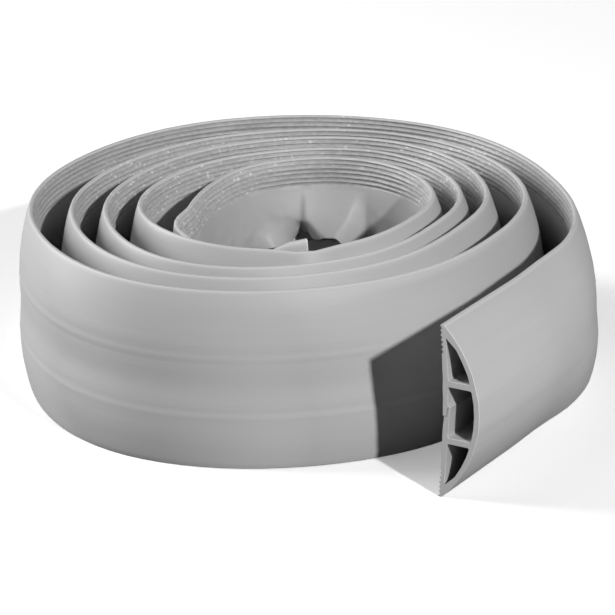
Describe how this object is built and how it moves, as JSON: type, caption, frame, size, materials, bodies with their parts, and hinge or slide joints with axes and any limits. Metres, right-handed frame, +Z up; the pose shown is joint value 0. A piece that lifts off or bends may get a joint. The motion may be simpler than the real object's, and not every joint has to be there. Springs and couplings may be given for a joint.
{
  "type": "floor cord cover",
  "caption": "Flexible floor cord cover, a domed strip with three cable channels and a lapped slit in its flat base, loosely coiled and standing on its long edge",
  "frame": {"origin": "middle of the coil's footprint, on the floor it stands on", "axes": "+Z up along the strip's width; the straight free end points along -Y with its domed face to +X"},
  "size_m": [0.2274, 0.2284, 0.0635],
  "materials": {
    "light_gray_plastic": "satin extruded soft plastic"
  },
  "bodies": {
    "root": {"cord_cover": "light_gray_plastic"}
  },
  "joints": []
}
